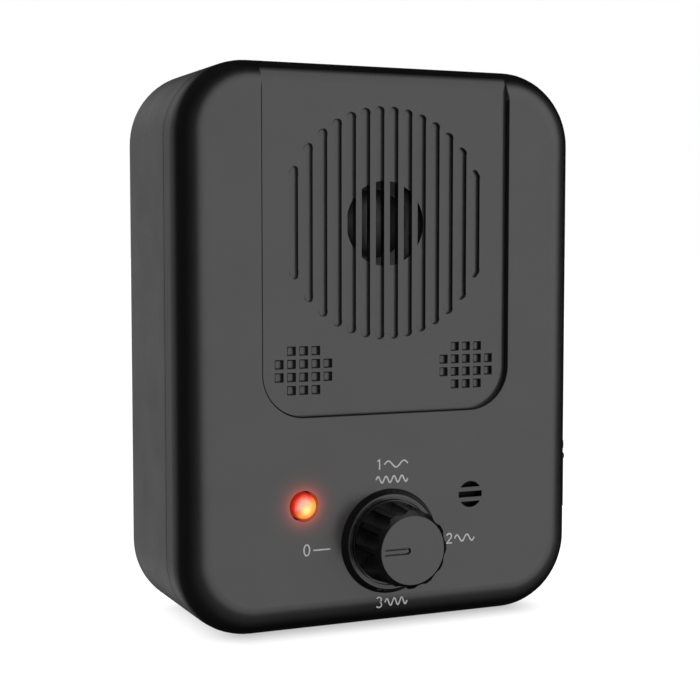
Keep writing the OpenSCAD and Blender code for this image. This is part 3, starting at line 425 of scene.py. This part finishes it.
# The lit lamp: colours at the upper left and lower right of its core and of the zone round it,
# then of the bright spot and of the rim
LED_CORE = ((1.0, 0.5, 0.36), (1.0, 0.6, 0.17))
LED_OUTER = ((0.86, 0.02, 0.012), (1.0, 0.32, 0.045))
LED_SPOT = (1.0, 0.92, 0.3)
LED_RIM = (0.22, 0.012, 0.004)
LED_EPOXY = (0.16, 0.008, 0.004, 1)
# Each zone's centre, from the lamp's own in X and Z, and the radii between which it fades out
CORE_PLACE = (-0.15 * MM, 0.05 * MM)
CORE_FADE = (0.8 * MM, 2.3 * MM)
SPOT_PLACE = (-0.15 * MM, -0.45 * MM)
SPOT_FADE = (0.15 * MM, 1.2 * MM)
RIM_START = 1.95 * MM


def led_material():
    """Tinted epoxy lit from inside: a pale core with a yellow spot, a zone round it that is red at
    the upper left and orange at the lower right, and a dark red rim."""
    s = Shader("led_epoxy")
    x, _, z = s.axes()
    diagonal = s.math("SUBTRACT", s.math("SUBTRACT", x, led_x), s.math("SUBTRACT", z, led_z))
    wobble = s.remap(s.noise(1.1 * MM, 3), 0.3, 0.7, -0.2 * MM, 0.2 * MM)
    diagonal = s.math("ADD", diagonal, wobble)
    core = s.mix(s.smooth(diagonal, -1.4 * MM, 0.6 * MM, 0, 1), *LED_CORE)
    outer = s.mix(s.smooth(diagonal, -1.1 * MM, 1.2 * MM, 0, 1), *LED_OUTER)
    from_core = s.from_axis(led_x + CORE_PLACE[0], led_z + CORE_PLACE[1])
    colour = s.mix(s.smooth(s.math("ADD", from_core, wobble), *CORE_FADE, 0, 1), core, outer)
    from_spot = s.from_axis(led_x + SPOT_PLACE[0], led_z + SPOT_PLACE[1])
    colour = s.mix(s.smooth(from_spot, *SPOT_FADE, 1, 0), colour, LED_SPOT)
    rim = s.smooth(s.from_axis(led_x, led_z), RIM_START, led_r, 0, 1)
    s.link(s.mix(rim, colour, LED_RIM), "Emission Color")
    s.set(Base_Color=LED_EPOXY, Roughness=0.12, Specular_IOR_Level=0.2, Emission_Strength=1.0)
    s.bump([(s.noise(0.9 * MM, 2), 4e-6)])
    return s.material


MATERIALS["diaphragm"] = diaphragm_material()
MATERIALS["led_epoxy"] = led_material()


for part in frame["record"]["subparts"]:
    coats = nodes[part["node"]].data.materials
    coats.clear()
    coats.append(MATERIALS[part["material_slot"]])
# The front's material has the lamp's light painted into it as a glow, so the lamp isn't mirrored
# there as well
nodes["led_lens"].visible_glossy = False


# ---------- marks round the dial ----------

# Numbers and waves printed on the front cover. Stroke width, and how far the ink stands in front
# of the face and reaches behind it
INK_W = 0.27 * MM
INK_PROUD = 0.02 * MM
INK_SUNK = 0.03 * MM
# In a mark that is 1 high: a digit's width, the gap after it, and the middle and swing of a wave
DIGIT_W = 0.6
DIGIT_GAP = 0.25
WAVE_MIDDLE = 0.45
WAVE_SWING = 0.3
# Least cosine of a bend's half angle, so that the mitre at a sharp bend stays short
LEAST_MITRE = 0.6


def arc(x, z, rx, rz, start, end, steps=18):
    """Points on an ellipse round x and z, from one angle in degrees to another."""
    angles = [math.radians(start + (end - start) * i / steps) for i in range(steps + 1)]
    return [(x + rx * math.cos(a), z + rz * math.sin(a)) for a in angles]


# Strokes of each digit, in a box that is 1 high and DIGIT_W wide
DIGITS = {
    0: [arc(0.3, 0.5, 0.24, 0.43, 90, 450, 36)],
    1: [[(0.14, 0.76), (0.36, 0.93), (0.36, 0.0)]],
    2: [arc(0.3, 0.69, 0.23, 0.24, 165, -38) + [(0.07, 0.07), (0.57, 0.07)]],
    3: [arc(0.28, 0.71, 0.22, 0.22, 150, -88), arc(0.28, 0.29, 0.24, 0.23, 88, -150)],
}


def wave(width, periods, steps=14):
    """Points of a sine curve, or of a straight line where it has no periods."""
    count = max(1, round(periods * steps))
    turns = [i / count for i in range(count + 1)]
    return [(width * turn, WAVE_MIDDLE + WAVE_SWING * math.sin(2 * math.pi * periods * turn))
        for turn in turns]


def ribbon(work, points):
    """Adds a flat bar along points in X and Z, with square ends and mitred bends, or a closed ring
    where the last point is the first."""
    closed = (Vector(points[0]) - Vector(points[-1])).length < 1e-7
    path = [Vector(p) for p in (points[:-1] if closed else points)]
    rings = []
    for i, here in enumerate(path):
        before = path[i - 1] if i or closed else None
        after = path[(i + 1) % len(path)] if i < len(path) - 1 or closed else None
        steps = [(here - before).normalized()] if before is not None else []
        steps += [(after - here).normalized()] if after is not None else []
        along = sum(steps, Vector((0, 0))).normalized()
        side = Vector((-along.y, along.x))
        mitre = max(LEAST_MITRE, side.dot(Vector((-steps[0].y, steps[0].x))))
        edge = side * (INK_W / 2 / mitre)
        rings.append([work.verts.new((p.x, y, p.y))
            for y in (front_y - INK_PROUD, front_y + INK_SUNK)
            for p in (here - edge, here + edge)])
    following = rings[1:] + rings[:1] if closed else rings[1:]
    for (a0, a1, a2, a3), (b0, b1, b2, b3) in zip(rings, following):
        for face in ((a0, b0, b1, a1), (a3, b3, b2, a2), (a1, b1, b3, a3), (a2, b2, b0, a0)):
            work.faces.new(face)
    if not closed:
        for c0, c1, c2, c3 in (rings[0], rings[-1]):
            work.faces.new((c0, c1, c3, c2))


def ink_material():
    """Pale print: slightly uneven cover with fine pinholes."""
    s = Shader("dial_print")
    cover = s.smooth(s.noise(0.16 * MM, 3, 0.7), 0.3, 0.42, 0, 1)
    s.link(s.mix(cover, (0.22, 0.22, 0.22), (0.5, 0.5, 0.5)), "Base Color")
    s.link(s.remap(s.noise(0.5 * MM, 3), 0.3, 0.7, 0.5, 0.65), "Roughness")
    s.bump([(s.noise(0.1 * MM, 2), 3e-6)])
    return s.material


def make_mark(name, x, z, width, height, digit, periods):
    """A digit, if any, and the curve beside it, in a box with its lower left corner at x and z."""
    start = 0 if digit is None else DIGIT_W + DIGIT_GAP
    curve = [(start + px, pz) for px, pz in wave(width / height - start, periods)]
    work = bmesh.new()
    for line in DIGITS.get(digit, []) + [curve]:
        ribbon(work, [(x + px * height, z + pz * height) for px, pz in line])
    bmesh.ops.recalc_face_normals(work, faces=work.faces)
    mesh = bpy.data.meshes.new(name)
    work.to_mesh(mesh)
    work.free()
    obj = bpy.data.objects.new(name, mesh)
    bpy.context.scene.collection.objects.link(obj)
    obj.data.materials.append(PRINT)
    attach(obj, "case")


PRINT = ink_material()
# Name, left edge, lower edge, width and height in millimetres, digit, periods of the wave
for name, x, z, width, height, digit, periods in [
    ("mark_one", -2.7, 29.4, 6.5, 2.0, 1, 1.5),
    ("mark_one_wave", -2.7, 26.6, 6.5, 2.0, None, 4),
    ("mark_off", -17.2, 14.4, 5.3, 2.3, 0, 0),
    ("mark_two", 11.9, 14.4, 6.0, 2.1, 2, 2),
    ("mark_three", -2.7, 3.5, 6.4, 2.2, 3, 3),
]:
    make_mark(name, x * MM, z * MM, width * MM, height * MM, digit, periods)


# ---------- floor and studio light ----------

def compass(azimuth, elevation):
    """Direction away from the object. Azimuth 0 is in front of it, 90 is to its right."""
    a, e = math.radians(azimuth), math.radians(elevation)
    return (math.sin(a) * math.cos(e), -math.cos(a) * math.cos(e), math.sin(e))


# Soft sources round the object: azimuth, elevation, half angle of the even middle,
# half angle where it has faded out, and radiance
SOFT_SOURCES = [
    (20, 16, 28, 60, 1.6),
    (204, -2, 22, 44, 0.33),
    (320, 10, 60, 140, 0.07),
]
AMBIENT = 0.015
# Broad fill for the sides, top and back, slightly from behind so that it leaves the front alone:
# azimuth and elevation of each light. They light matt colour only and don't show in the gloss.
FILLS = [(255, 10), (105, 10), (180, 70)]
FILL_STRENGTH = 1.9
FILL_SPREAD = 45
# Soft shade on the floor round the area that the body stands on: its level and its width
CONTACT_LEVEL = 0.5
CONTACT_WIDTH = 11 * MM
FLOOR_R = 8.0


def studio(tree, direction):
    """Adds up the soft sources as seen in a direction, and returns the radiance's socket."""
    total = None
    for azimuth, elevation, inner, outer, radiance in SOFT_SOURCES:
        dot = tree.nodes.new("ShaderNodeVectorMath")
        dot.operation = "DOT_PRODUCT"
        dot.inputs[1].default_value = compass(azimuth, elevation)
        tree.links.new(direction, dot.inputs[0])
        fade = tree.nodes.new("ShaderNodeMapRange")
        fade.interpolation_type = "SMOOTHSTEP"
        fade.inputs["From Min"].default_value = math.cos(math.radians(outer))
        fade.inputs["From Max"].default_value = math.cos(math.radians(inner))
        fade.inputs["To Max"].default_value = radiance
        tree.links.new(dot.outputs["Value"], fade.inputs["Value"])
        add = tree.nodes.new("ShaderNodeMath")
        add.operation = "ADD"
        add.inputs[1].default_value = AMBIENT
        if total is not None:
            tree.links.new(total, add.inputs[1])
        tree.links.new(fade.outputs["Result"], add.inputs[0])
        total = add.outputs["Value"]
    return total


def backdrop(tree, soft_light):
    """The picture's ground is plain white; the object is lit by the soft light only."""
    path = tree.nodes.new("ShaderNodeLightPath")
    choose = tree.nodes.new("ShaderNodeMix")
    choose.data_type = "FLOAT"
    choose.inputs["B"].default_value = 1
    tree.links.new(path.outputs["Is Camera Ray"], choose.inputs["Factor"])
    tree.links.new(soft_light, choose.inputs["A"])
    return choose.outputs["Result"]


world = bpy.data.worlds.new("world")
world.use_nodes = True
background = next(n for n in world.node_tree.nodes if n.type == "BACKGROUND")
background.inputs["Color"].default_value = (1, 1, 1, 1)
sky = world.node_tree.nodes.new("ShaderNodeTexCoord")
world.node_tree.links.new(backdrop(world.node_tree,
    studio(world.node_tree, sky.outputs["Generated"])), background.inputs["Strength"])
bpy.context.scene.world = world


def make_fill(number, azimuth, elevation):
    """One broad fill light, which gloss doesn't show."""
    data = bpy.data.lights.new("fill_%d" % number, "SUN")
    data.energy = FILL_STRENGTH
    data.angle = math.radians(FILL_SPREAD)
    light = bpy.data.objects.new(data.name, data)
    light.rotation_euler = Vector(compass(azimuth, elevation)).to_track_quat("Z", "Y").to_euler()
    light.visible_glossy = False
    bpy.context.scene.collection.objects.link(light)


for number, place in enumerate(FILLS):
    make_fill(number, *place)


def make_floor():
    """Wide pale disc with a soft shade round the body's foot. The gloss on the object shows the
    studio's light in place of it."""
    mesh = bpy.data.meshes.new("floor")
    work = bmesh.new()
    bmesh.ops.create_circle(work, cap_ends=True, segments=96, radius=FLOOR_R)
    work.to_mesh(mesh)
    work.free()
    obj = bpy.data.objects.new("floor", mesh)
    bpy.context.scene.collection.objects.link(obj)
    obj.visible_glossy = False
    obj.visible_diffuse = False
    s = Shader("floor")
    s.set(Base_Color=(0.12, 0.12, 0.12, 1), Roughness=0.9, Specular_IOR_Level=0.1)
    x, y, _ = s.axes()
    past_x = s.math("ADD", s.math("ABSOLUTE", x), corner_r - body_w / 2)
    past_y = s.math("ADD", s.math("ABSOLUTE", y), front_edge_r - body_d / 2)
    from_foot = s.length(s.math("MAXIMUM", past_x, 0), s.math("MAXIMUM", past_y, 0))
    s.link(s.smooth(from_foot, 0, CONTACT_WIDTH, CONTACT_LEVEL, 1), "Emission Strength")
    s.set(Emission_Color=(1, 1, 1, 1))
    obj.data.materials.append(s.material)


make_floor()
bpy.context.scene.view_settings.view_transform = "Standard"
